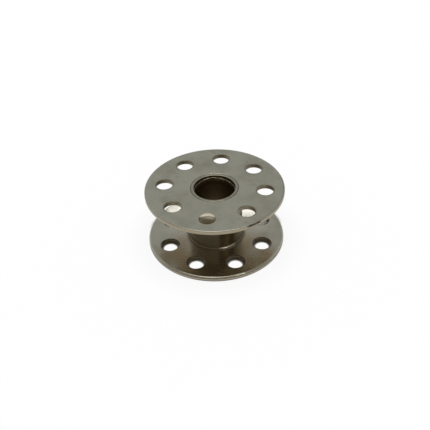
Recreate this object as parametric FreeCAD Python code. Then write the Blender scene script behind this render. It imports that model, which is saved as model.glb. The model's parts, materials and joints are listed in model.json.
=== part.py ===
"""Metal sewing machine bobbin: a hub tube riveted between two punched sheet-steel flanges.

Millimetres, +Z along the bobbin's axis, origin at the centre of the face it stands on.
One hole of the upper flange lies on +X.
"""
import FreeCAD, Part
import os

from FreeCAD import Vector

# Whole bobbin
overall_height = 9.4

# Flanges: one pressing, used twice
flange_diameter = 21.0
flange_thickness = 0.75
rim_outer_chamfer = 0.1
rim_inner_chamfer = 0.25    # eased on the side that faces the thread
least_wall = 0.05           # flat left between two chamfers that share a wall

# Thread holes in each flange, turned about the axis in degrees
hole_count = 8
hole_diameter = 2.5
hole_to_rim = 1.63          # web between a hole and the rim
hole_outer_chamfer = 0.08
hole_inner_chamfer = 0.22   # eased more on the side that the thread runs over
upper_hole_turn = 0.0
lower_hole_turn = -15.3

# Hub tube, from its bore outwards
bore_diameter = 6.1
spigot_wall = 0.35          # stepped-down end that passes through the flange
shoulder_width = 0.72       # seat of the flange, outside the spigot
foot_chamfer = 0.33         # foot cone where the hub meets each flange

# Riveted ends of the hub, spread into the countersinks of the flanges
rivet_spread = 0.2
rivet_head_depth = 0.35
rivet_mouth_chamfer = 0.15  # lead-in to the bore
rivet_seam_chamfer = 0.05   # on both sides of the ring where the head meets the flange
rivet_gap = 0.01            # between the hub's end and the flange round it

# Radii worked out from the sizes above
flange_radius = flange_diameter / 2
hole_radius = hole_diameter / 2
hole_circle_radius = flange_radius - hole_to_rim - hole_radius
bore_radius = bore_diameter / 2
spigot_radius = bore_radius + spigot_wall
rivet_head_radius = spigot_radius + rivet_spread
hub_radius = spigot_radius + shoulder_width

AXIS = Vector(0, 0, 1)
ORIGIN = Vector(0, 0, 0)
FULL_TURN = 360.0
HALF_TURN = 180.0


def revolved(outline):
    """Solid of a closed outline in the XZ plane, given by its (x, z) corners, turned about Z."""
    corners = [Vector(x, 0, z) for x, z in outline]
    wire = Part.makePolygon(corners + corners[:1])
    return Part.Face(wire).revolve(ORIGIN, AXIS, FULL_TURN)


def circle_edges(shape, radius, height):
    """Circular edges of a shape that have a radius and lie at a height."""
    tolerance = 1e-5
    return [
        edge
        for edge in shape.Edges
        if isinstance(edge.Curve, Part.Circle)
        and abs(edge.Curve.Radius - radius) < tolerance
        and abs(edge.Curve.Center.z - height) < tolerance
    ]


def break_edges(disc, radius, outer, inner):
    """Flange with its circular edges of one radius chamfered on the outer and the inner face.

    The two chamfers are limited together by the wall that they share.
    """
    share = min(1.0, (flange_thickness - least_wall) / (outer + inner))
    disc = disc.makeChamfer(outer * share, circle_edges(disc, radius, 0.0))
    return disc.makeChamfer(inner * share, circle_edges(disc, radius, flange_thickness))


def hole_punches(turn):
    """Punches for the ring of thread holes, turned about the axis."""
    first = Part.makeCylinder(hole_radius, flange_thickness, Vector(hole_circle_radius, 0, 0))
    punches = []
    for index in range(hole_count):
        punch = first.copy()
        punch.rotate(ORIGIN, AXIS, turn + index * FULL_TURN / hole_count)
        punches.append(punch)
    return punches


def rivet_hole():
    """Centre hole of a flange: clear of the spigot, countersunk on the outer face for its head."""
    around_spigot = spigot_radius + rivet_gap
    around_head = rivet_head_radius + rivet_gap
    hole = Part.makeCylinder(around_spigot, flange_thickness)
    return hole.fuse(Part.makeCone(around_head, around_spigot, rivet_head_depth))


def flange(turn):
    """Flange lying on its outer face, with the thread holes turned about the axis."""
    disc = Part.makeCylinder(flange_radius, flange_thickness)
    disc = disc.cut(hole_punches(turn) + [rivet_hole()])
    disc = break_edges(disc, flange_radius, rim_outer_chamfer, rim_inner_chamfer)
    disc = break_edges(disc, hole_radius, hole_outer_chamfer, hole_inner_chamfer)
    return disc.makeChamfer(rivet_seam_chamfer, circle_edges(disc, rivet_head_radius + rivet_gap, 0.0))


def lower_flange():
    """Flange that the bobbin stands on."""
    return flange(lower_hole_turn)


def upper_flange():
    """The same flange turned over, at the top of the bobbin."""
    shape = flange(-upper_hole_turn)
    shape.rotate(ORIGIN, Vector(1, 0, 0), HALF_TURN)
    shape.translate(Vector(0, 0, overall_height))
    return shape


def hub_tube():
    """Hub between the flanges, with its bore and both riveted ends."""
    middle = overall_height / 2
    lower_half = revolved([
        (bore_radius, middle),
        (bore_radius, rivet_mouth_chamfer),
        (bore_radius + rivet_mouth_chamfer, 0),
        (rivet_head_radius, 0),
        (spigot_radius, rivet_head_depth),
        (spigot_radius, flange_thickness),
        (hub_radius + foot_chamfer, flange_thickness),
        (hub_radius, flange_thickness + foot_chamfer),
        (hub_radius, middle),
    ])
    lower_half = lower_half.makeChamfer(rivet_seam_chamfer, circle_edges(lower_half, rivet_head_radius, 0.0))
    upper_half = lower_half.mirror(Vector(0, 0, middle), AXIS)
    return lower_half.fuse(upper_half).removeSplitter()


PIECES = {
    "lower_flange": lower_flange,
    "hub_tube": hub_tube,
    "upper_flange": upper_flange,
}

os.makedirs("parts", exist_ok=True)
for name, make in PIECES.items():
    make().exportStep(f"parts/{name}.step")
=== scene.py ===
"""Looks of the sewing machine bobbin: plated flanges and hub on a pale floor, in soft studio light.

Sizes in the classes are millimetres, as on a drawing; meshes are in metres, in the frame's own axes.
"""

import json
import logging
import math
from dataclasses import dataclass, field
from enum import Enum
from typing import Mapping, Sequence, Union

import bmesh
import bpy
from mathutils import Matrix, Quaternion, Vector


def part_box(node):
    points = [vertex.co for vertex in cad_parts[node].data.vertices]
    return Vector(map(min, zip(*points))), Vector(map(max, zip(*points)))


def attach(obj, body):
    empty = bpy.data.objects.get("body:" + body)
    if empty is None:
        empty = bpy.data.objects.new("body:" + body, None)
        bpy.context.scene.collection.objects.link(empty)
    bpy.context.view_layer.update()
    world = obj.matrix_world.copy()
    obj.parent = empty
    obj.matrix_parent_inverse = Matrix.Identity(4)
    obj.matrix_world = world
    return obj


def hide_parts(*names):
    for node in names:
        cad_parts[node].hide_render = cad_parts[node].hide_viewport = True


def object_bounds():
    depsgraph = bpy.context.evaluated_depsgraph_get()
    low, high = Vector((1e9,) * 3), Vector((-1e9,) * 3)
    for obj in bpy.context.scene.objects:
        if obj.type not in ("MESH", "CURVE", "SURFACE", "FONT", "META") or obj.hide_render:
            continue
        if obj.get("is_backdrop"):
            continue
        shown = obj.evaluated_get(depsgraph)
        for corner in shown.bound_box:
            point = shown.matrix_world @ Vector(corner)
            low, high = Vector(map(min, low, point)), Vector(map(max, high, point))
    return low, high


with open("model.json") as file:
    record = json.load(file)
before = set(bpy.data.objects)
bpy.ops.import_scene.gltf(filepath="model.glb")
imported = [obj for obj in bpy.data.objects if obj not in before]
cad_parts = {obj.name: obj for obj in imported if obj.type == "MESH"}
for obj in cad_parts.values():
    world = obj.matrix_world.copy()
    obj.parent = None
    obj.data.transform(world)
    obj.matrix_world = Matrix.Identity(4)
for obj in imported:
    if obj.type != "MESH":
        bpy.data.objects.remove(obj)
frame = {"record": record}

MM = 0.001
MICRON = 1e-6
FULL_TURN = 2 * math.pi
QUARTER_TURN = math.pi / 2
WELD = 1e-6
NOISE_MIDDLE = 0.5
UP = Vector((0.0, 0.0, 1.0))
WHITE = (1.0, 1.0, 1.0, 1.0)
BODY = "root"

Colour = tuple[float, float, float, float]
Corner = tuple[float, float]
Span = tuple[float, float]
Triple = tuple[float, float, float]
Socket = bpy.types.NodeSocket
Number = Union["Value", float]

log = logging.getLogger("bobbin")


class End(Enum):
    """End of the bobbin that a flange closes."""

    LOWER = "lower"
    UPPER = "upper"


class Metal(Enum):
    """Side of a wall that the metal lies on, seen from the wall's own axis."""

    INSIDE = -1
    OUTSIDE = 1


@dataclass(eq=False)
class Value:
    """Float socket of a node tree; arithmetic on it adds Math nodes."""

    graph: "Graph"
    socket: Socket

    def __add__(self, other: Number) -> "Value":
        """Sum."""
        return self.graph.math("ADD", self, other)

    def __sub__(self, other: Number) -> "Value":
        """Difference."""
        return self.graph.math("SUBTRACT", self, other)

    def __rsub__(self, other: Number) -> "Value":
        """Difference with a number on the left."""
        return self.graph.math("SUBTRACT", other, self)

    def __mul__(self, other: Number) -> "Value":
        """Product."""
        return self.graph.math("MULTIPLY", self, other)

    def __truediv__(self, other: Number) -> "Value":
        """Quotient."""
        return self.graph.math("DIVIDE", self, other)

    def __abs__(self) -> "Value":
        """Size without sign."""
        return self.graph.math("ABSOLUTE", self)

    __radd__ = __add__
    __rmul__ = __mul__

    def ramp(self, zero: float, one: float) -> "Value":
        """Smooth step between two numbers, which may be in either order.

        Args:
            zero: number at which the step is 0.
            one: number at which it is 1.

        Returns:
            The step.
        """
        limits = {"Value": self, "From Min": zero, "From Max": one}
        node = self.graph.node("ShaderNodeMapRange", {"interpolation_type": "SMOOTHSTEP"}, limits)
        return Value(self.graph, node.outputs["Result"])


@dataclass(eq=False)
class Graph:
    """Node tree that is being filled, of a material, a world or a Geometry Nodes group."""

    tree: bpy.types.NodeTree

    def node(
        self,
        kind: str,
        settings: Mapping[str, object] | None = None,
        inputs: Mapping[str | int, object] | None = None,
    ) -> bpy.types.Node:
        """Adds a node.

        Args:
            kind: Blender's name of the node type.
            settings: properties, set before any socket.
            inputs: values or links by socket identifier, name or index.

        Returns:
            The new node.
        """
        made = self.tree.nodes.new(kind)
        for name, setting in (settings or {}).items():
            setattr(made, name, setting)
        for key, value in (inputs or {}).items():
            self.feed(self.socket(made.inputs, key), value)
        return made

    @staticmethod
    def socket(sockets: bpy.types.bpy_prop_collection, key: str | int) -> Socket:
        """Finds a socket.

        Args:
            sockets: inputs or outputs of a node.
            key: index, identifier or name.

        Returns:
            The socket.
        """
        if isinstance(key, int):
            return sockets[key]
        by_identifier = [socket for socket in sockets if socket.identifier == key]
        return by_identifier[0] if by_identifier else sockets[key]

    def feed(self, socket: Socket, value: object) -> None:
        """Links a socket to another one, or sets its value.

        Args:
            socket: input that is fed.
            value: number, colour, vector or the socket that it comes from.
        """
        if isinstance(value, Value):
            value = value.socket
        if isinstance(value, Socket):
            self.tree.links.new(value, socket)
        else:
            socket.default_value = value

    def math(self, operation: str, *operands: Number) -> Value:
        """Result of a Math node."""
        node = self.node("ShaderNodeMath", {"operation": operation}, dict(enumerate(operands)))
        return Value(self, node.outputs[0])

    def largest(self, first: Number, *others: Number) -> Value:
        """Largest of two or more values."""
        for other in others:
            first = self.math("MAXIMUM", first, other)
        return first

    def vector_math(self, operation: str, *operands: object) -> bpy.types.Node:
        """Vector Math node with its operands in order."""
        return self.node("ShaderNodeVectorMath", {"operation": operation}, dict(enumerate(operands)))

    def along(self, vector: Socket, direction: Vector) -> Value:
        """Part of a vector in a direction."""
        return Value(self, self.vector_math("DOT_PRODUCT", vector, direction).outputs["Value"])

    def split(self, vector: Socket) -> tuple[Value, Value, Value]:
        """Three parts of a vector."""
        outputs = self.node("ShaderNodeSeparateXYZ", None, {0: vector}).outputs
        return Value(self, outputs[0]), Value(self, outputs[1]), Value(self, outputs[2])

    def joined(self, x: Number, y: Number, z: Number) -> Socket:
        """Vector of three parts."""
        return self.node("ShaderNodeCombineXYZ", None, {0: x, 1: y, 2: z}).outputs[0]

    def mix(self, share: Number, first: object, second: object) -> Socket:
        """Colour between two colours.

        Args:
            share: 0 for the first colour, 1 for the second.
            first: colour or socket.
            second: colour or socket.

        Returns:
            The mixed colour's socket.
        """
        inputs = {"Factor_Float": share, "A_Color": first, "B_Color": second}
        node = self.node("ShaderNodeMix", {"data_type": "RGBA"}, inputs)
        return self.socket(node.outputs, "Result_Color")

    def rays(self, *kinds: str) -> list[Value]:
        """Tests for kinds of ray, such as Camera or Glossy, each 0 or 1."""
        outputs = self.node("ShaderNodeLightPath").outputs
        return [Value(self, outputs[f"Is {kind} Ray"]) for kind in kinds]


class Place:
    """Where a point of a piece lies, in millimetres, as sockets of a material."""

    def __init__(self, graph: Graph) -> None:
        """Adds the nodes that give the place, the distance from the axis and the angle round it.

        Args:
            graph: the material's tree.
        """
        self.graph = graph
        coordinates = graph.node("ShaderNodeTexCoord").outputs["Object"]
        self.point = graph.vector_math("SCALE", coordinates).outputs[0]
        self.point.node.inputs["Scale"].default_value = 1 / MM
        x, y, self.z = graph.split(self.point)
        flat = graph.joined(x, y, 0.0)
        self.radius = Value(graph, graph.vector_math("LENGTH", flat).outputs["Value"])
        self.angle = graph.math("ARCTAN2", y, x)

    def aside(self, turn: float) -> Value:
        """Angle to either side of a direction from the axis, in radians."""
        return abs(self.graph.math("WRAP", self.angle - turn, math.pi, -math.pi))


@dataclass(frozen=True)
class Mottle:
    """Noise over a piece: features for each millimetre, octaves, seed, and the span it is ramped over."""

    scale: float
    detail: float
    seed: float
    span: Span | None = None

    def at(self, place: Place, seed: float = 0.0, vector: Socket | None = None) -> Value:
        """Noise at a place.

        Args:
            place: place on the piece.
            seed: added to the noise's own seed.
            vector: stretched coordinates to read it at, if not the place itself.

        Returns:
            The noise from 0 to 1, ramped if it has a span.
        """
        inputs = {
            "Vector": place.point if vector is None else vector,
            "W": self.seed + seed,
            "Scale": self.scale,
            "Detail": self.detail,
        }
        node = place.graph.node("ShaderNodeTexNoise", {"noise_dimensions": "4D"}, inputs)
        noise = Value(place.graph, node.outputs[0])
        return noise.ramp(*self.span) if self.span else noise


@dataclass(frozen=True)
class Patch:
    """Mark on a piece: a span for each distance that bounds it, and its share where it is full."""

    spans: Sequence[Span]
    share: float = 1.0

    def on(self, *distances: Value) -> Value:
        """Share of the mark at distances that go with its spans, in order."""
        ramps = (distance.ramp(*span) for distance, span in zip(distances, self.spans, strict=True))
        return math.prod(ramps, start=self.share)


@dataclass(frozen=True)
class Marks:
    """Real marks and painted light and shade on a piece: shares from 0 to 1, and a height in microns.

    The first share darkens faces with real stains and with painted shade, sheared walls are left dull by the
    punch, the third share lightens edges polished by handling and also paints highlights, and the fourth
    darkens with real dirt in the seams and with painted shade and painted dark reflections.
    """

    stain_and_shade: Value
    sheared: Value
    rub_and_highlight: Value
    grime_and_shade: Value
    lines: Value


@dataclass(frozen=True)
class Plating:
    """Nickel plating on steel, tumbled to a satin gloss and marked by handling; heights are microns."""

    name: str
    clean: Colour = (0.615, 0.58, 0.465, 1.0)
    dull: Colour = (0.49, 0.45, 0.345, 1.0)
    # Stain colour: real stains, and also painted shade on inner faces, in the bore and on the hub's foot.
    stain: Colour = (0.185, 0.130, 0.064, 1.0)
    sheared: Colour = (0.33, 0.29, 0.205, 1.0)
    # Colour of edges polished by handling and of painted highlights.
    rub_and_highlight: Colour = (0.68, 0.64, 0.54, 1.0)
    rubbed_share: float = 0.6
    # Colour of dirt in the seams, and of painted shade and painted dark reflections.
    grime_shade_colour: Colour = (0.055, 0.040, 0.022, 1.0)
    grime_cover: float = 0.5
    roughness: float = 0.22
    cloud_roughness: float = 0.10
    scratch_roughness: float = 0.12
    stain_roughness: float = 0.10
    sheared_roughness: float = 0.16
    rubbed_polish: float = 0.06
    grime_roughness: float = 0.25
    seed: float = 1.0
    cloud: Mottle = Mottle(0.30, 4.0, 0.0)
    cloud_dull: Patch = Patch(((0.40, 0.68),), 0.75)
    smear: Mottle = Mottle(1.3, 5.0, 1.0, (0.50, 0.72))
    smear_share: float = 0.35
    finger: Mottle = Mottle(0.55, 3.0, 7.0, (0.60, 0.74))
    finger_share: float = 0.16
    waves: Mottle = Mottle(0.35, 1.0, 2.0)
    wave_height: float = 12.0
    grain: Mottle = Mottle(22.0, 2.0, 3.0)
    grain_height: float = 0.5
    scratch_turns: Sequence[float] = (0.35, 1.4, 2.45)
    scratch_stretch: Triple = (0.18, 7.0, 1.0)
    scratch_line: Mottle = Mottle(1.0, 1.0, 10.0)
    scratch_width: Span = (0.010, 0.002)
    scratch_patch: Mottle = Mottle(0.45, 2.0, 15.0, (0.48, 0.62))
    scratch_depth: float = 0.7

    def scratches(self, place: Place) -> Value:
        """Fine straight hairlines in a few directions, in patches.

        Args:
            place: place on the piece.

        Returns:
            1 in a scratch and 0 beside it.
        """
        marks: Number = 0.0
        for index, turn in enumerate(self.scratch_turns):
            seed = self.seed + index
            stretch = {"Vector": place.point, "Rotation": (0.0, 0.0, turn), "Scale": self.scratch_stretch}
            along = place.graph.node("ShaderNodeMapping", None, stretch).outputs[0]
            line = abs(self.scratch_line.at(place, seed, along) - NOISE_MIDDLE).ramp(*self.scratch_width)
            marks = place.graph.largest(line * self.scratch_patch.at(place, seed), marks)
        return marks

    def material(self, place: Place, marks: Marks) -> None:
        """Fills a material's tree.

        Args:
            place: place on the piece.
            marks: what making and use have left on the piece.
        """
        graph = place.graph
        mottles = (self.cloud, self.smear, self.finger, self.waves, self.grain)
        cloud, smear, finger, waves, grain = (mottle.at(place, self.seed) for mottle in mottles)
        scratch = self.scratches(place)
        colour = graph.mix(self.cloud_dull.on(cloud) + smear * self.smear_share, self.clean, self.dull)
        # The marks mix in real stains, wear and dirt, and also painted shade, painted highlights and painted
        # dark reflections.
        for share, mark in (
            (finger * self.finger_share, self.stain),
            (marks.stain_and_shade, self.stain),
            (marks.sheared, self.sheared),
            (marks.rub_and_highlight * self.rubbed_share, self.rub_and_highlight),
            (marks.grime_and_shade, self.grime_shade_colour),
        ):
            colour = graph.mix(share, colour, mark)
        roughness = self.roughness + (cloud - NOISE_MIDDLE) * self.cloud_roughness
        for share, change in (
            (scratch, self.scratch_roughness),
            (marks.stain_and_shade, self.stain_roughness),
            (marks.sheared, self.sheared_roughness),
            (marks.rub_and_highlight, -self.rubbed_polish),
            (marks.grime_and_shade, self.grime_roughness),
        ):
            roughness = roughness + share * change
        height = waves * self.wave_height + grain * self.grain_height + marks.lines
        height = height - scratch * self.scratch_depth
        bump = graph.node("ShaderNodeBump", None, {"Strength": 1.0, "Distance": MICRON, "Height": height})
        shader = graph.node("ShaderNodeBsdfPrincipled", None, {
            "Base Color": colour,
            "Metallic": 1.0 - marks.grime_and_shade * self.grime_cover,
            "Roughness": roughness,
            "Normal": bump.outputs[0],
        })
        graph.node("ShaderNodeOutputMaterial", None, {"Surface": shader.outputs[0]})


def new_material(name: str) -> tuple[bpy.types.Material, Place]:
    """Makes an empty material.

    Args:
        name: name of the material.

    Returns:
        The material and the place on its piece, which holds the tree.
    """
    material = bpy.data.materials.new(name)
    material.use_nodes = True
    material.node_tree.nodes.clear()
    return material, Place(Graph(material.node_tree))


def arc(centre: Corner, radius: float, start: float, turn: float, steps: int) -> list[Corner]:
    """Points of an arc, both ends included.

    Args:
        centre: centre of the arc.
        radius: its radius.
        start: angle of the first point, in radians.
        turn: angle swept, counter-clockwise if positive.
        steps: number of chords.

    Returns:
        The points in order.
    """
    angles = [start + turn * step / steps for step in range(steps + 1)]
    return [(centre[0] + radius * math.cos(a), centre[1] + radius * math.sin(a)) for a in angles]


def new_object(name: str, vertices: Sequence[Vector], edges: Sequence, faces: Sequence) -> bpy.types.Object:
    """Makes a mesh object at the origin and links it to the scene.

    Args:
        name: name of the object and its mesh.
        vertices: places in metres.
        edges: pairs of vertex numbers.
        faces: vertex numbers of each face.

    Returns:
        The object.
    """
    mesh = bpy.data.meshes.new(name)
    mesh.from_pydata(vertices, edges, faces)
    made = bpy.data.objects.new(name, mesh)
    bpy.context.scene.collection.objects.link(made)
    return made


class PieceTree:
    """Geometry Nodes group with named inputs that turns a pattern mesh into a finished piece."""

    def __init__(self, name: str, sizes: Mapping[str, str]) -> None:
        """Makes the group and its inputs.

        Args:
            name: name of the group.
            sizes: socket types by input name.
        """
        self.group = bpy.data.node_groups.new(name, "GeometryNodeTree")
        self.graph = Graph(self.group)
        self.inputs = {}
        kinds = {"Pattern": "NodeSocketGeometry", **sizes, "Material": "NodeSocketMaterial"}
        for label, kind in kinds.items():
            self.inputs[label] = self.group.interface.new_socket(label, in_out="INPUT", socket_type=kind)
        self.group.interface.new_socket("Piece", in_out="OUTPUT", socket_type="NodeSocketGeometry")
        self.source = self.graph.node("NodeGroupInput").outputs

    def number(self, label: str) -> Value:
        """Named input as a value."""
        return Value(self.graph, self.source[label])

    def close(self, geometry: Socket) -> None:
        """Adds the end of the tree: real geometry, welded, smooth and with its material.

        Args:
            geometry: what the tree has made.
        """
        for kind, inputs in (
            ("GeometryNodeRealizeInstances", {}),
            ("GeometryNodeMergeByDistance", {"Distance": WELD}),
            ("GeometryNodeSetShadeSmooth", {}),
            ("GeometryNodeSetMaterial", {"Material": self.source["Material"]}),
        ):
            geometry = self.graph.node(kind, None, {0: geometry, **inputs}).outputs[0]
        self.graph.node("NodeGroupOutput", None, {0: geometry})

    def apply(self, pattern: bpy.types.Object, sizes: Mapping[str, object]) -> bpy.types.Object:
        """Runs the group on a pattern and leaves a plain mesh with outward faces.

        Args:
            pattern: object whose mesh is the pattern; it becomes the piece.
            sizes: values by input name.

        Returns:
            The finished object.
        """
        modifier = pattern.modifiers.new(self.group.name, "NODES")
        modifier.node_group = self.group
        for label, value in sizes.items():
            modifier[self.inputs[label].identifier] = value
        evaluated = pattern.evaluated_get(bpy.context.evaluated_depsgraph_get())
        mesh = bpy.data.meshes.new_from_object(evaluated)
        pattern.modifiers.remove(modifier)
        pattern.data = mesh
        shell = bmesh.new()
        shell.from_mesh(mesh)
        bmesh.ops.recalc_face_normals(shell, faces=shell.faces[:])
        shell.to_mesh(mesh)
        shell.free()
        return pattern


class RingTree(PieceTree):
    """Repeats a flange sector round the axis."""

    def __init__(self) -> None:
        """Builds the tree."""
        super().__init__("flange_ring", {"Sectors": "NodeSocketInt", "Turn": "NodeSocketFloat"})
        graph = self.graph
        points = graph.node("GeometryNodePoints", None, {"Count": self.number("Sectors")})
        index = Value(graph, graph.node("GeometryNodeInputIndex").outputs[0])
        turn = index * FULL_TURN / self.number("Sectors") + self.number("Turn")
        rotation = graph.node("FunctionNodeEulerToRotation", None, {0: graph.joined(0.0, 0.0, turn)})
        ring = graph.node("GeometryNodeInstanceOnPoints", None, {
            "Points": points.outputs[0],
            "Instance": self.source["Pattern"],
            "Rotation": rotation.outputs[0],
        })
        self.close(ring.outputs[0])


class LatheTree(PieceTree):
    """Turns a profile about the axis, with a ripple where the profile's vertices ask for it.

    A square grid, centred on the origin, becomes the surface: across it run the profile's vertices, and along
    it the turn.
    """

    RIPPLE = "ripple"
    RIPPLE_DETAIL = 2.0
    LOBES = 2.0
    GRID_SIZE = 1.0

    def __init__(self) -> None:
        """Builds the tree."""
        numbers = ("Ripple", "Lobe", "Lobe Turn", "Ripple Scale", "Seed")
        sizes = {"Segments": "NodeSocketInt"} | dict.fromkeys(numbers, "NodeSocketFloat")
        super().__init__("hub_lathe", sizes)
        graph = self.graph
        profile = self.source["Pattern"]
        corners = graph.node("GeometryNodeAttributeDomainSize", {"component": "MESH"}, {0: profile})
        count = Value(graph, corners.outputs["Point Count"])
        grid = graph.node("GeometryNodeMeshGrid", None, {
            "Size X": self.GRID_SIZE,
            "Size Y": self.GRID_SIZE,
            "Vertices X": count,
            "Vertices Y": self.number("Segments") + 1,
        })
        across, along, _ = graph.split(graph.node("GeometryNodeInputPosition").outputs[0])
        corner = graph.math("ROUND", (across + self.GRID_SIZE / 2) * (count - 1))
        angle = (along + self.GRID_SIZE / 2) * FULL_TURN
        place = graph.node("GeometryNodeInputPosition").outputs[0]
        radius, _, height = graph.split(self.sample("FLOAT_VECTOR", place, corner))
        weight = graph.node("GeometryNodeInputNamedAttribute", {"data_type": "FLOAT"}, {"Name": self.RIPPLE})
        share = Value(graph, self.sample("FLOAT", weight.outputs[0], corner))
        cosine, sine = graph.math("COSINE", angle), graph.math("SINE", angle)
        noise = graph.node("ShaderNodeTexNoise", {"noise_dimensions": "4D"}, {
            "Vector": graph.joined(cosine, sine, height / MM),
            "W": self.number("Seed"),
            "Scale": self.number("Ripple Scale"),
            "Detail": self.RIPPLE_DETAIL,
        })
        wave = (Value(graph, noise.outputs[0]) - NOISE_MIDDLE) * self.number("Ripple")
        lobes = graph.math("COSINE", (angle - self.number("Lobe Turn")) * self.LOBES) * self.number("Lobe")
        turned = graph.joined(radius * cosine, radius * sine, height + (wave + lobes) * share)
        moved = {"Geometry": grid.outputs[0], "Position": turned}
        self.close(graph.node("GeometryNodeSetPosition", None, moved).outputs[0])

    def sample(self, kind: str, source: Socket, corner: Value) -> Socket:
        """Value of a field at one vertex of the profile.

        Args:
            kind: data type of the field.
            source: the field that is read.
            corner: index of the vertex.

        Returns:
            The value's socket.
        """
        settings = {"data_type": kind, "domain": "POINT"}
        reading = {"Geometry": self.source["Pattern"], "Value": source, "Index": corner}
        return self.graph.node("GeometryNodeSampleIndex", settings, reading).outputs[0]


@dataclass(frozen=True)
class FlangeWear:
    """Where making and use have marked a flange, and where light and shade are painted on it.

    A span holds the numbers at which a mark is absent and full: millimetres in from the rim, from a hole's
    wall, from the seam, from the hub's foot or deep from the outer face, or radians to either side of a turn.
    The unshaded side's span is in steps from hole to hole. Turns are radians about the axis, and shares run
    from 0 to 1.
    """

    # Share of painted shade on the inner face; the upper flange's underside gets almost all of it.
    inner_face_shade: float
    # Turn of the side whose hole walls keep clean bright plating, with no dulling and no painted shade.
    unshaded_side: float | None = None
    # Turn of a painted dark reflection on the rim wall, if any.
    rim_dark_reflection: float | None = None
    # Turn of a thin darker line on the outer face just inside the rim, if any.
    edge_line: float | None = None
    # Share of painted reflection lines on the rim wall: a dark line, a light line and a painted contact
    # shadow at the outer edge.
    rim_reflection_lines: float = 0.0
    patches: Mottle = Mottle(1.8, 3.0, 4.0, (0.25, 0.65))
    patch_share: float = 0.5
    shade_start: float = 0.75
    unshaded_steps: Span = (0.45, 1.1)
    rim: Span = (0.05, 0.012)
    # Lightened near the rim: polish from handling, and a painted highlight on the rim's rounding.
    near_rim: Span = (0.40, 0.15)
    rim_wall: Span = (0.14, 0.06)
    hole_wall: Span = (0.28, 0.04)
    # Painted shade deep in the hole walls.
    deep_wall_shade: Patch = Patch(((0.05, -0.02),), 0.66)
    # Painted shade on the holes' inner rounding, which dims its highlight.
    easing: Patch = Patch(((0.03, 0.09), (0.30, 0.20), (0.35, 0.5)), 0.92)
    seam: Patch = Patch(((0.12, 0.04), (0.01, 0.05)), 0.9)
    # Painted shade on the inner face round the hub's foot.
    foot: Patch = Patch(((0.45, 0.0), (0.4, 0.65)), 0.45)
    # Painted dark reflection on the rim wall.
    dark_reflection: Patch = Patch(((0.13, 0.07), (0.10, 0.04), (0.40, 0.25)))
    # Thin darker line on the outer face just inside the rim.
    line: Patch = Patch(((0.8, 0.5), (0.08, 0.14), (0.32, 0.22), (0.12, 0.06)), 0.4)
    # Painted dark reflection line, painted contact shadow at the outer edge and painted highlight line on the
    # rim wall.
    dark_reflection_line: Patch = Patch(((0.38, 0.46), (0.62, 0.54)), 0.5)
    contact_shadow_edge: Patch = Patch(((0.20, 0.10),), 0.5)
    highlight_line: Patch = Patch(((0.15, 0.25), (0.44, 0.36)))
    circle_stretch: Span = (5.0, 0.5)
    circles: Mottle = Mottle(1.0, 3.0, 6.0)
    circle_height: float = 1.2


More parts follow.
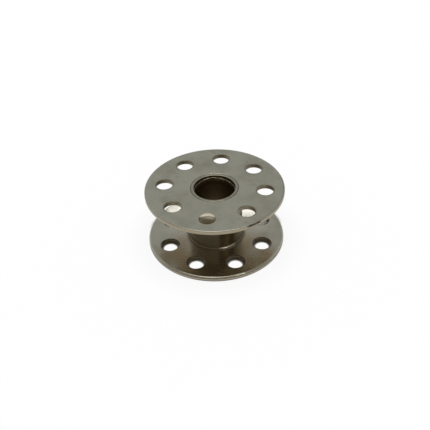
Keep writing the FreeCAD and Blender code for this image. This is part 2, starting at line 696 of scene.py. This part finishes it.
@dataclass
class Flange:
    """Disc punched from sheet, with a ring of thread holes and a countersunk centre hole."""

    end: End
    turn: float
    plating: Plating
    wear: FlangeWear
    holes: int = 8
    hole_radius: float = 1.25
    hole_circle: float = 7.62
    hole_outer_edge: float = 0.07
    hole_inner_edge: float = 0.26
    rim_outer_edge: float = 0.11
    rim_inner_edge: float = 0.29
    seat_radius: float = 3.41
    sink_radius: float = 3.61
    sink_depth: float = 0.36
    sink_edge: float = 0.12
    rim_steps: int = 24
    side_steps: int = 10
    centre_steps: int = 14
    web_rings: int = 4
    edge_steps: int = 7
    sink_steps: int = 4
    guard: float = 0.03
    radius: float = field(init=False)
    thickness: float = field(init=False)
    face_height: float = field(init=False)
    foot_radius: float = field(init=False)

    def __post_init__(self) -> None:
        """Takes the disc's own size and place from the frame."""
        low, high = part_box(self.node)
        self.radius = min(high.x, high.y) / MM
        self.thickness = (high.z - low.z) / MM
        self.face_height = (high.z if self.end is End.UPPER else low.z) / MM
        self.foot_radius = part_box("hub_tube")[1].x / MM

    @property
    def node(self) -> str:
        """Name of the frame's node that the flange stands for."""
        return f"{self.end.value}_flange"

    @property
    def inwards(self) -> float:
        """Direction along Z from the outer face to the inner one."""
        return -1.0 if self.end is End.UPPER else 1.0

    def outline(self, centre_radius: float, rim_radius: float) -> list[Corner]:
        """Edge of one sector of a face, counter-clockwise from the middle of the rim.

        Args:
            centre_radius: radius of the face's inner edge.
            rim_radius: radius at which the rim's rounding starts.

        Returns:
            Points in the plane; the sector's hole lies on +X.
        """
        half = math.pi / self.holes
        rim = arc((0, 0), rim_radius, -half, 2 * half, self.rim_steps)
        centre = arc((0, 0), centre_radius, half, -2 * half, self.centre_steps)
        middle = self.rim_steps // 2
        down = self.between(rim[-1], centre[0])
        up = self.between(centre[-1], rim[0])
        return rim[middle:] + down + centre + up + rim[:middle]

    def between(self, start: Corner, end: Corner) -> list[Corner]:
        """Points that divide a straight side of a sector, without its ends."""
        shares = [step / self.side_steps for step in range(1, self.side_steps)]
        return [(start[0] + (end[0] - start[0]) * s, start[1] + (end[1] - start[1]) * s) for s in shares]

    def web(self, edge: Corner, hole_edge: float) -> list[Corner]:
        """Points of a face from a sector's edge to the hole, on the line towards the hole's centre.

        Args:
            edge: point on the sector's edge.
            hole_edge: radius at which the hole's rounding starts.

        Returns:
            The points, with one close to each end so that the flat stays flat.
        """
        reach = math.hypot(edge[0] - self.hole_circle, edge[1])
        inner, outer = hole_edge + self.guard, reach - self.guard
        steps = [inner + (outer - inner) * step / self.web_rings for step in range(self.web_rings, -1, -1)]
        distances = [reach, *steps, hole_edge]
        toward = ((edge[0] - self.hole_circle) / reach, edge[1] / reach)
        return [(self.hole_circle + toward[0] * d, toward[1] * d) for d in distances]

    def wall(self, radius: float, metal: Metal, outer: float, inner: float) -> list[Corner]:
        """Section of a round wall through the sheet, with rounded edges.

        Args:
            radius: radius of the wall.
            metal: side of it that the sheet lies on.
            outer: radius of the edge at the outer face.
            inner: radius of the edge at the inner face.

        Returns:
            Points as (radius, depth), from the outer face to the inner one.
        """
        side = metal.value
        turn = -side * QUARTER_TURN
        first = arc((radius + side * outer, outer), outer, -QUARTER_TURN, turn, self.edge_steps)
        centre = (radius + side * inner, self.thickness - inner)
        return first + arc(centre, inner, turn - QUARTER_TURN, turn, self.edge_steps)

    def centre_wall(self) -> list[Corner]:
        """Section of the centre hole.

        Returns:
            Points as (radius, depth), from the outer face to the inner one.
        """
        edge = self.sink_edge
        lip = arc((self.sink_radius + edge, edge), edge, -QUARTER_TURN, -QUARTER_TURN, self.sink_steps)
        return lip + [(self.seat_radius, self.sink_depth), (self.seat_radius, self.thickness)]

    def sector(self) -> bpy.types.Object:
        """Pattern mesh of one sector, with its hole on +X and its outer face at the flange's height.

        Returns:
            The pattern's object.
        """
        vertices: list[Vector] = []
        faces: list[tuple[int, int, int, int]] = []

        def strip(columns: list[list[Vector]], closed: bool) -> None:
            """Adds columns of points and the faces between neighbours.

            Args:
                columns: lists of points, all of one length.
                closed: whether the last column meets the first.
            """
            first, rows = len(vertices), len(columns[0])
            for column in columns:
                vertices.extend(column)
            for index in range(len(columns) if closed else len(columns) - 1):
                here, there = first + index * rows, first + (index + 1) % len(columns) * rows
                faces.extend((here + k, here + k + 1, there + k + 1, there + k) for k in range(rows - 1))

        def at(point: Corner, depth: float) -> Vector:
            """Vertex under a point of the plane, at a depth from the outer face."""
            return Vector((point[0], point[1], self.face_height + self.inwards * depth)) * MM

        def turned(section: list[Corner], way: float, middle: float = 0.0) -> list[Vector]:
            """Section in a direction from a centre that lies on +X."""
            cosine, sine = math.cos(way), math.sin(way)
            return [at((middle + radius * cosine, radius * sine), depth) for radius, depth in section]

        outer_edges = self.outline(self.sink_radius + self.sink_edge, self.radius - self.rim_outer_edge)
        inner_edges = self.outline(self.seat_radius, self.radius - self.rim_inner_edge)
        hole = self.wall(self.hole_radius, Metal.OUTSIDE, self.hole_outer_edge, self.hole_inner_edge)
        rim = self.wall(self.radius, Metal.INSIDE, self.rim_outer_edge, self.rim_inner_edge)
        columns = []
        for outer, inner in zip(outer_edges, inner_edges):
            way = math.atan2(outer[1], outer[0] - self.hole_circle)
            top = [at(p, 0.0) for p in self.web(outer, self.hole_radius + self.hole_outer_edge)]
            bottom = [at(p, self.thickness) for p in self.web(inner, self.hole_radius + self.hole_inner_edge)]
            columns.append(top[:-1] + turned(hole, way, self.hole_circle) + bottom[-2::-1])
        strip(columns, closed=True)
        half = math.pi / self.holes
        for section, steps in ((rim, self.rim_steps), (self.centre_wall(), self.centre_steps)):
            ways = [-half + 2 * half * step / steps for step in range(steps + 1)]
            strip([turned(section, way) for way in ways], closed=False)
        return new_object(f"{self.node}_plate", vertices, [], faces)

    def from_hole(self, place: Place) -> Value:
        """Distance from the wall of the nearest hole, below 0 inside it.

        Args:
            place: place on the flange or under it.

        Returns:
            The distance in millimetres.
        """
        half = math.pi / self.holes
        folded = place.graph.math("WRAP", place.angle - self.turn, half, -half)
        beside = place.radius * place.graph.math("COSINE", folded) - self.hole_circle
        across = place.radius * place.graph.math("SINE", folded)
        return place.graph.math("SQRT", beside * beside + across * across) - self.hole_radius

    def dress(self) -> bpy.types.Material:
        """Plating of the flange: polished at the rim, dull where it was cut and with dirt in the seam, and
        with painted shade, painted highlights and painted reflections.

        Returns:
            The flange's material.
        """
        material, place = new_material(f"{self.plating.name}_{self.end.value}")
        graph, wear, seed = place.graph, self.wear, self.plating.seed
        inside = self.radius - place.radius
        depth = (place.z - self.face_height) * self.inwards
        from_hole = self.from_hole(place)
        patchy = wear.patches.at(place, seed)
        rim = inside.ramp(*wear.rim)
        # Lightened near the rim: polish from handling, and a painted highlight on the rim's rounding.
        near_rim = inside.ramp(*wear.near_rim) * (1.0 - rim)
        rim_wall = inside.ramp(*wear.rim_wall) * wear.rim_reflection_lines
        # Hole walls are dulled where the punch cut them and get painted shade deep down, except on the
        # unshaded side.
        hole_wall, deep_wall_shade = from_hole.ramp(*wear.hole_wall), wear.deep_wall_shade.on(from_hole)
        if wear.unshaded_side is not None:
            near, far = (steps * FULL_TURN / self.holes for steps in wear.unshaded_steps)
            hole_wall_darkening = place.aside(wear.unshaded_side).ramp(near, far)
            hole_wall, deep_wall_shade = hole_wall * hole_wall_darkening, deep_wall_shade * hole_wall_darkening
        # Dirt in the seam; painted shade in the holes, on their rounding and round the hub's foot; painted
        # lines and a painted dark reflection on the rim; and a darker line inside the rim.
        dirt_and_shade = [
            deep_wall_shade,
            # Painted shade on the holes' inner rounding.
            wear.easing.on(from_hole, from_hole, depth),
            wear.seam.on(abs(place.radius - self.sink_radius), depth),
            # Painted shade on the inner face round the hub's foot.
            wear.foot.on(place.radius - self.foot_radius, depth),
            # Painted dark reflection line and painted contact shadow on the rim wall.
            (wear.dark_reflection_line.on(depth, depth) + wear.contact_shadow_edge.on(depth)) * rim_wall,
        ]
        # Painted dark reflection on the rim wall.
        if wear.rim_dark_reflection is not None:
            dirt_and_shade.append(wear.dark_reflection.on(place.aside(wear.rim_dark_reflection), inside, depth))
        # Thin darker line on the outer face just inside the rim.
        if wear.edge_line is not None:
            dirt_and_shade.append(wear.line.on(place.aside(wear.edge_line), inside, inside, depth))
        out, around = wear.circle_stretch
        circles = graph.joined(place.radius * out, place.angle * around, depth)
        self.plating.material(place, Marks(
            # Painted shade on the inner face.
            stain_and_shade=depth.ramp(self.thickness * wear.shade_start, self.thickness) * wear.inner_face_shade,
            sheared=graph.largest(rim, hole_wall),
            # Polish near the rim with a painted highlight there, and the painted highlight line on the rim
            # wall.
            rub_and_highlight=near_rim * patchy + wear.highlight_line.on(depth, depth) * rim_wall,
            grime_and_shade=graph.largest(*dirt_and_shade) * (patchy * wear.patch_share + (1.0 - wear.patch_share)),
            lines=wear.circles.at(place, seed, circles) * wear.circle_height,
        ))
        return material

    def build(self, tree: RingTree) -> bpy.types.Object:
        """Finished flange in place of the frame's node.

        Args:
            tree: ring of sectors.

        Returns:
            The flange's object.
        """
        sizes = {"Sectors": self.holes, "Turn": self.turn, "Material": self.dress()}
        made = tree.apply(self.sector(), sizes)
        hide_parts(self.node)
        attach(made, BODY)
        return made


@dataclass(frozen=True)
class HubWear:
    """Where making and use have marked the hub, and where light and shade are painted on it.

    Spans, turns and shares are as on a flange; the distances run from the bore, the wall, the spread head,
    the nearer end, the flange's seat or the lower face. The ledge's span is in parts of the flare and the
    foot's top in parts of the foot, the front's and the spot's first spans are cosines of the angle from the
    front, and the dark core's is a share of the wall's darkening.
    """

    patches: Mottle = Mottle(1.6, 3.0, 4.0, (0.25, 0.65))
    patch_share: float = 0.5
    # The bore gets painted shade, all but the ledge, which stays bright.
    ledge: Patch = Patch(((0.38, 0.25),), 0.8)
    bore: Span = (0.16, 0.09)
    bore_shade: float = 0.56
    outside: Span = (-0.2, -0.05)
    foot_top: Span = (1.0, 0.8)
    # The wall is darker all round, more on its front at mid height, with a darker core there.
    side_darkening: float = 0.2
    front_turn: float = math.radians(-81.0)
    front: Patch = Patch(((0.1, 0.8), (5.4, 3.2)), 0.5)
    spot: Patch = Patch(((0.55, 1.0), (2.4, 4.6), (7.15, 6.25)), 0.72)
    spot_fray: Span = (0.03, 0.1)
    dark_core: Patch = Patch(((0.6, 1.0),), 0.2)
    # Turn and span of a painted dark reflection on the wall; the turn also places the foot's painted
    # highlight.
    reflection_turn: float = math.radians(-57.0)
    dark_reflection: Patch = Patch(((0.44, 0.20), (5.0, 3.2)))
    # Painted highlight on the foot at the reflection turn, and painted shade over the rest of the foot.
    foot_highlight: Patch = Patch(((0.34, 0.18),))
    foot_shade: Patch = Patch(((0.20, 0.40),), 0.85)
    # Painted shade in the corner at the hub's foot.
    foot_corner_shade: Patch = Patch(((0.35, 0.02), (-0.1, 0.0)), 0.25)
    ring: Patch = Patch(((0.06, 0.02), (0.15, 0.25)), 0.34)
    seam: Patch = Patch(((-0.08, -0.02), (0.01, 0.05), (0.6, 0.4)), 0.9)
    end_shear: Patch = Patch(((0.08, 0.0),), 0.35)
    # Polish at the ends, which also paints the highlight at the mouth.
    end_rub_and_highlight: Patch = Patch(((0.10, 0.02),), 0.5)
    turning_stretch: Triple = (14.0, 0.7, 3.0)
    turning: Mottle = Mottle(1.0, 3.0, 6.0)
    turning_height: float = 1.6


@dataclass
class HubTube:
    """Turned tube between the flanges, its ends spread into their countersinks."""

    plating: Plating
    wear: HubWear = HubWear()
    node: str = "hub_tube"
    wall_radius: float = 4.12
    spigot_radius: float = 3.40
    head_radius: float = 3.60
    head_depth: float = 0.35
    head_edge: float = 0.11
    flare: float = 0.06
    ledge_depth: float = 0.54
    ledge_rise: float = 0.03
    ledge_ease: Corner = (0.012, 0.01)
    mouth_edge: float = 0.16
    wall_guard: float = 0.04
    bore_rings: int = 7
    bore_pitch: float = 0.5
    edge_steps: int = 8
    head_steps: int = 3
    segments: int = 224
    ripple: float = 0.50
    lobe: float = 0.12
    lobe_turn: float = math.radians(99.0)
    ripple_scale: float = 2.6
    ripple_seed: float = 3.0
    height: float = field(init=False)
    foot: float = field(init=False)
    seat: float = field(init=False)
    bore_radius: float = field(init=False)

    def __post_init__(self) -> None:
        """Takes the overall sizes from the frame and the bore from its mount."""
        low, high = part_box(self.node)
        self.height = (high.z - low.z) / MM
        self.foot = high.x / MM - self.wall_radius
        flange_low, flange_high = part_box(f"{End.LOWER.value}_flange")
        self.seat = (flange_high.z - flange_low.z) / MM
        mounts = {mount["name"]: mount for mount in frame["record"]["mounts"]}
        self.bore_radius = mounts["bore"]["dims"]["r_mm"]

    def lower_half(self) -> list[Triple]:
        """Section of the lower half, from the bore outwards.

        Returns:
            Points as (radius, height, ripple share).
        """
        middle = self.height / 2
        inner, flared = self.bore_radius, self.bore_radius + self.flare
        low, high = self.ledge_depth, self.ledge_depth + self.ledge_rise
        out, up = self.ledge_ease
        bore = [(inner, middle - step * self.bore_pitch) for step in range(self.bore_rings)]
        ledge = [(inner, high), (inner + out, high - up), (flared - out, low + up), (flared, low)]
        edge = self.mouth_edge
        mouth = arc((flared + edge, edge), edge, math.pi, QUARTER_TURN, self.edge_steps)
        edge = self.head_edge
        head = arc((self.head_radius - edge, edge), edge, -QUARTER_TURN, QUARTER_TURN, self.head_steps)
        spigot = [(self.spigot_radius, self.head_depth), (self.spigot_radius, self.seat)]
        corner = (self.wall_radius + self.foot, self.seat + self.foot)
        foot = arc(corner, self.foot, -QUARTER_TURN, -QUARTER_TURN, self.edge_steps)
        wall = [(self.wall_radius, corner[1] + self.wall_guard), (self.wall_radius, middle)]
        shares = ((bore, 0.0), (ledge, 1.0), (mouth + head + spigot + foot + wall, 0.0))
        return [(radius, height, share) for points, share in shares for radius, height in points]

    def profile(self) -> bpy.types.Object:
        """Pattern of vertices: section of the tube in the XZ plane, from the bore round to the bore.

        Returns:
            The pattern's object.
        """
        lower = self.lower_half()
        upper = [(radius, self.height - height, share) for radius, height, share in reversed(lower[:-1])]
        section = lower + upper
        corners = [Vector((radius, 0.0, height)) * MM for radius, height, _ in section]
        edges = [(index, index + 1) for index in range(len(corners) - 1)]
        made = new_object(f"{self.node}_turned", corners, edges, [])
        ripple = made.data.attributes.new(LatheTree.RIPPLE, "FLOAT", "POINT")
        ripple.data.foreach_set("value", [share for _, _, share in section])
        return made

    def dress(self) -> bpy.types.Material:
        """Plating of the hub with turning marks and dirt at the rivet seams, and a wall darker all round and
        most on its front at mid height; painted shade in the bore and at the feet, painted highlights on the
        foot and at the ends, and a painted dark reflection on the wall.

        Returns:
            The hub's material.
        """
        material, place = new_material(self.plating.name)
        graph, wear, seed = place.graph, self.wear, self.plating.seed
        patchy = wear.patches.at(place, seed)
        from_end = self.height / 2 - abs(place.z - self.height / 2)
        from_seat = from_end - self.seat
        from_bore = place.radius - self.bore_radius
        from_wall = place.radius - self.wall_radius
        from_head = place.radius - self.head_radius
        from_reflection_turn = place.aside(wear.reflection_turn)
        facing = graph.math("COSINE", place.angle - wear.front_turn)
        # Painted shade in the bore, leaving the ledge bright.
        ledge = wear.ledge.on(abs(from_bore - self.flare / 2) / self.flare)
        bore = from_bore.ramp(*wear.bore) * (1.0 - ledge)
        outside = from_wall.ramp(*wear.outside)
        on_foot = (from_seat / self.foot).ramp(*wear.foot_top)
        wall, foot = outside * (1.0 - on_foot), outside * on_foot
        # The wall is darker all round and more on its front at mid height.
        aside, up = wear.spot_fray
        height = place.z + patchy * up
        spot = wear.spot.on(facing + patchy * aside, height, height)
        stain = wall * (wear.side_darkening + graph.largest(wear.front.on(facing, place.z), spot))
        # Painted shade in the corner at the hub's foot.
        corner = wear.foot_corner_shade.on(from_seat, from_wall)
        dirt_and_shade = graph.largest(wear.seam.on(from_head, from_end, from_end), corner)
        dirt_and_shade = dirt_and_shade * (patchy * wear.patch_share + (1.0 - wear.patch_share))
        # Painted dark reflection on the wall.
        dark_reflection = wall * wear.dark_reflection.on(from_reflection_turn, place.z)
        ring = wear.ring.on(from_end, from_bore)
        # Polish at the ends and the painted highlight at the mouth.
        rub = wear.end_rub_and_highlight.on(from_end) * (1.0 - bore) * patchy
        along, around, out = wear.turning_stretch
        turned = graph.joined(place.z * along, place.angle * around, place.radius * out)
        self.plating.material(place, Marks(
            # Painted shade in the bore and over the foot away from its highlight, the wall's darkening and a
            # ring round the mouth.
            stain_and_shade=graph.largest(bore, stain) + ring + foot * wear.foot_shade.on(from_reflection_turn),
            sheared=wear.end_shear.on(from_end),
            # Polish and painted highlight at the ends, and the painted highlight on the foot.
            rub_and_highlight=rub + foot * wear.foot_highlight.on(from_reflection_turn),
            # Dirt at the rivet seams, painted shade in the foot's corner and the bore, and the painted dark
            # reflection.
            grime_and_shade=dirt_and_shade + bore * wear.bore_shade + dark_reflection + wear.dark_core.on(stain),
            lines=wear.turning.at(place, seed, turned) * wear.turning_height,
        ))
        return material

    def build(self, tree: LatheTree) -> bpy.types.Object:
        """Finished hub in place of the frame's node.

        Args:
            tree: lathe for the profile.

        Returns:
            The hub's object.
        """
        made = tree.apply(self.profile(), {
            "Segments": self.segments,
            "Ripple": self.ripple * MM,
            "Lobe": self.lobe * MM,
            "Lobe Turn": self.lobe_turn,
            "Ripple Scale": self.ripple_scale,
            "Seed": self.ripple_seed,
            "Material": self.dress(),
        })
        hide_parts(self.node)
        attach(made, BODY)
        return made


@dataclass(frozen=True)
class Floor:
    """Round pale floor, white to the eye outside the bobbin, with a soft shadow, and with painted light under
    it.

    The radius is metres. Spans are millimetres beyond the flange's rim, from a hole's wall, behind the axis
    or from it. To the eye and in the metal the paper has a share of white at the rim, and gains two more
    outwards.
    """

    radius: float = 1.5
    sides: int = 96
    colour: Colour = (0.90, 0.90, 0.89, 1.0)
    fibre_colour: Colour = (0.93, 0.93, 0.925, 1.0)
    fibre: Mottle = Mottle(0.6, 4.0, 2.0)
    outside: Span = (-0.2, 0.1)
    beside: Span = (0.0, 0.4)
    near_radius: float = 16.0
    far_radius: float = 50.0
    to_eye: Triple = (0.92, 0.07, 0.01)
    in_metal: Triple = (0.15, 0.30, 0.53)
    shade: Patch = Patch(((0.7, 0.1), (2.0, 4.0)), 0.9)
    # Painted light: the paper in the lower holes on the camera's side glows white to the eye, where it lies
    # in shade under the flange.
    hole: Patch = Patch(((-0.08, -0.34), (1.8, 0.5)), 0.97)
    # Painted light: the paper under the bore glows white to the metal, though it lies in the dark there.
    bore: Patch = Patch(((3.2, 2.4),), 0.9)

    def glow(self, place: Place, lower: Flange, back: Vector) -> Value:
        """How far the paper shows as plain white.

        Args:
            place: place on the floor.
            lower: flange that the bobbin stands on.
            back: level direction away from the camera.

        Returns:
            The share from 0 to 1.
        """
        camera, through, glossy = place.graph.rays("Camera", "Transmission", "Glossy")
        direct = place.graph.largest(camera, through)
        behind = place.graph.along(place.point, back)
        beyond = place.radius - lower.radius
        near = place.radius.ramp(lower.radius, self.near_radius)
        far = place.radius.ramp(self.near_radius, self.far_radius)
        at_rim, by_near, by_far = self.to_eye
        to_eye = (at_rim + near * by_near + far * by_far) * (1.0 - self.shade.on(beyond, behind))
        at_rim, by_side, by_near = self.in_metal
        in_metal = at_rim + beyond.ramp(*self.beside) * by_side + near * by_near
        outside = beyond.ramp(*self.outside)
        # Painted light in the lower holes on the camera's side.
        hole = direct * self.hole.on(lower.from_hole(place), behind)
        # Painted light under the bore, seen only in the metal.
        bore = glossy * self.bore.on(place.radius)
        return outside * (direct * to_eye + glossy * in_metal) + (1.0 - outside) * hole + bore

    def build(self, lower: Flange, back: Vector) -> bpy.types.Object:
        """Makes the floor.

        Args:
            lower: flange that the bobbin stands on.
            back: level direction away from the camera.

        Returns:
            The floor's object.
        """
        material, place = new_material("floor_paper")
        graph = place.graph
        colour = graph.mix(self.fibre.at(place), self.colour, self.fibre_colour)
        matt = graph.node("ShaderNodeBsdfDiffuse", None, {"Color": colour})
        white = graph.node("ShaderNodeEmission", None, {"Color": WHITE, "Strength": 1.0})
        shares = {0: self.glow(place, lower, back), 1: matt.outputs[0], 2: white.outputs[0]}
        paper = graph.node("ShaderNodeMixShader", None, shares)
        graph.node("ShaderNodeOutputMaterial", None, {"Surface": paper.outputs[0]})
        circle = arc((0, 0), self.radius, 0.0, FULL_TURN, self.sides)[:-1]
        made = new_object("floor", [Vector((x, y, 0.0)) for x, y in circle], [], [list(range(self.sides))])
        made.data.materials.append(material)
        made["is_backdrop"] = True
        return made


@dataclass(frozen=True)
class Room:
    """Soft room that the metal shows: bright above, grey behind, dimmer in front, pale low down behind.

    Spans are parts of a unit direction, backwards or upwards. To the eye the room is white.
    """

    back_light: Colour = (0.385, 0.405, 0.42, 1.0)
    front_light: Colour = (0.26, 0.25, 0.23, 1.0)
    horizon_light: Colour = (0.60, 0.60, 0.59, 1.0)
    top_light: Colour = (0.60, 0.60, 0.59, 1.0)
    back: Span = (-0.10, 0.60)
    horizon: Patch = Patch(((0.42, 0.12), (-0.5, 0.3)))
    top: Span = (0.90, 0.965)

    def build(self, back: Vector) -> None:
        """Makes the scene's world.

        Args:
            back: level direction away from the camera.
        """
        world = bpy.data.worlds.new("studio")
        world.use_nodes = True
        world.node_tree.nodes.clear()
        bpy.context.scene.world = world
        graph = Graph(world.node_tree)
        way = graph.node("ShaderNodeTexCoord").outputs["Generated"]
        backwards, upwards = graph.along(way, back), graph.split(way)[2]
        colour = graph.mix(backwards.ramp(*self.back), self.front_light, self.back_light)
        colour = graph.mix(self.horizon.on(upwards, backwards), colour, self.horizon_light)
        colour = graph.mix(upwards.ramp(*self.top), colour, self.top_light)
        colour = graph.mix(graph.largest(*graph.rays("Camera", "Transmission")), colour, WHITE)
        sky = graph.node("ShaderNodeBackground", None, {"Color": colour, "Strength": 1.0})
        graph.node("ShaderNodeOutputWorld", None, {"Surface": sky.outputs[0]})


@dataclass(frozen=True)
class SoftBox:
    """Rectangular lamp that faces the bobbin's middle.

    Azimuth runs from the camera to its right and elevation from the floor upwards, in degrees; lengths are
    metres, and a radiance of 1 is white.
    """

    name: str
    azimuth: float
    elevation: float
    distance: float
    width: float
    height: float
    radiance: float
    colour: Triple = (1.0, 1.0, 1.0)
    mirrored_only: bool = False


@dataclass(frozen=True)
class Studio:
    """Floor, room and lamps round the bobbin, and the camera at the photograph's viewing angle.

    Angles are degrees, the camera's distance is millimetres and its nearest point of view metres.
    """

    floor: Floor = Floor()
    room: Room = Room()
    azimuth: float = 9.04
    elevation: float = 37.76
    roll: float = -2.20
    distance: float = 109.6
    focal_pixels: float = 714.0
    frame_pixels: float = 430.0
    centre_pixel: Corner = (215.40, 212.03)
    nearest: float = 0.01
    soft_boxes: Sequence[SoftBox] = (
        SoftBox("soft_box_top", -63.0, 84.9, 0.50, 0.34, 0.34, 1.1),
        SoftBox("soft_box_key", 41.0, 42.0, 0.40, 0.06, 0.05, 7.0),
        SoftBox("back_card", 180.0, 8.1, 0.0131, 0.0165, 0.0028, 1.85, (0.86, 0.88, 1.0), mirrored_only=True),
    )

    def axes(self) -> tuple[Vector, Vector]:
        """Level directions to the camera's right and away from it."""
        turn = math.radians(self.azimuth)
        return Vector((math.cos(turn), math.sin(turn), 0.0)), Vector((-math.sin(turn), math.cos(turn), 0.0))

    def direction(self, azimuth: float, elevation: float) -> Vector:
        """Direction from the bobbin's middle.

        Args:
            azimuth: degrees to the right of the camera.
            elevation: degrees above the floor.

        Returns:
            The unit vector.
        """
        right, back = self.axes()
        turn, lift = math.radians(azimuth), math.radians(elevation)
        level = right * math.sin(turn) - back * math.cos(turn)
        return level * math.cos(lift) + UP * math.sin(lift)

    def lamps(self, centre: Vector) -> None:
        """Adds the soft boxes, which the camera doesn't see.

        Args:
            centre: middle of the bobbin, in metres.
        """
        for box in self.soft_boxes:
            data = bpy.data.lights.new(box.name, "AREA")
            data.shape = "RECTANGLE"
            data.size, data.size_y = box.width, box.height
            data.color = box.colour
            data.energy = box.radiance * math.pi * box.width * box.height
            way = self.direction(box.azimuth, box.elevation)
            lamp = bpy.data.objects.new(box.name, data)
            lamp.location = centre + way * box.distance
            lamp.rotation_mode = "QUATERNION"
            lamp.rotation_quaternion = (-way).to_track_quat("-Z", "Y")
            lamp.visible_camera = False
            lamp.visible_diffuse = not box.mirrored_only
            bpy.context.scene.collection.objects.link(lamp)

    def camera(self, centre: Vector) -> None:
        """Camera at the photograph's angle, aimed so that the bobbin's centre falls on its pixel.

        Args:
            centre: middle of the bobbin, in metres.
        """
        data = bpy.data.cameras.new("camera")
        data.lens = data.sensor_width * self.focal_pixels / self.frame_pixels
        data.shift_x = (self.frame_pixels / 2 - self.centre_pixel[0]) / self.frame_pixels
        data.shift_y = (self.centre_pixel[1] - self.frame_pixels / 2) / self.frame_pixels
        data.clip_start = self.nearest
        toward = self.direction(0.0, self.elevation)
        camera = bpy.data.objects.new("camera", data)
        camera.location = centre + toward * self.distance * MM
        camera.rotation_mode = "QUATERNION"
        upright = (-toward).to_track_quat("-Z", "Y")
        camera.rotation_quaternion = upright @ Quaternion(UP, math.radians(self.roll))
        bpy.context.scene.collection.objects.link(camera)
        bpy.context.scene.camera = camera

    def build(self, centre: Vector, lower: Flange) -> None:
        """Everything round the bobbin.

        Args:
            centre: middle of the bobbin, in metres.
            lower: flange that the bobbin stands on.
        """
        back = self.axes()[1]
        self.floor.build(lower, back)
        self.room.build(back)
        self.lamps(centre)
        self.camera(centre)
        bpy.context.scene.view_settings.view_transform = "Standard"


def main() -> None:
    """Builds the bobbin and its studio and logs each piece's face count."""
    logging.basicConfig(level=logging.INFO, format="%(name)s: %(message)s")
    cad_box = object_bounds()
    flange_plating = Plating("flange_plating")
    hub_plating = Plating(
        "hub_plating",
        stain=(0.145, 0.110, 0.060, 1.0),
        grime_shade_colour=(0.080, 0.050, 0.016, 1.0),
        roughness=0.28,
        stain_roughness=0.02,
        grime_roughness=0.05,
        seed=31.0,
    )
    # Upper flange: painted shade on its underside, hole walls left bright on the front side, a painted dark
    # reflection on the rim and a darker line inside it.
    upper_wear = FlangeWear(
        inner_face_shade=0.95,
        unshaded_side=math.radians(-90.0),
        rim_dark_reflection=math.radians(-50.0),
        edge_line=math.radians(-14.0),
    )
    # Lower flange: faint painted shade on its inner face and painted reflection lines on its rim wall.
    lower_wear = FlangeWear(inner_face_shade=0.04, rim_reflection_lines=1.0)
    upper = Flange(End.UPPER, turn=0.0, plating=flange_plating, wear=upper_wear)
    lower = Flange(End.LOWER, turn=math.radians(-15.3), plating=flange_plating, wear=lower_wear)
    ring, lathe = RingTree(), LatheTree()
    pieces = [upper.build(ring), lower.build(ring), HubTube(hub_plating).build(lathe)]
    for piece in pieces:
        log.info("%s: %d faces", piece.name, len(piece.data.polygons))
    Studio().build((cad_box[0] + cad_box[1]) / 2, lower)


if __name__ == "__main__":
    main()
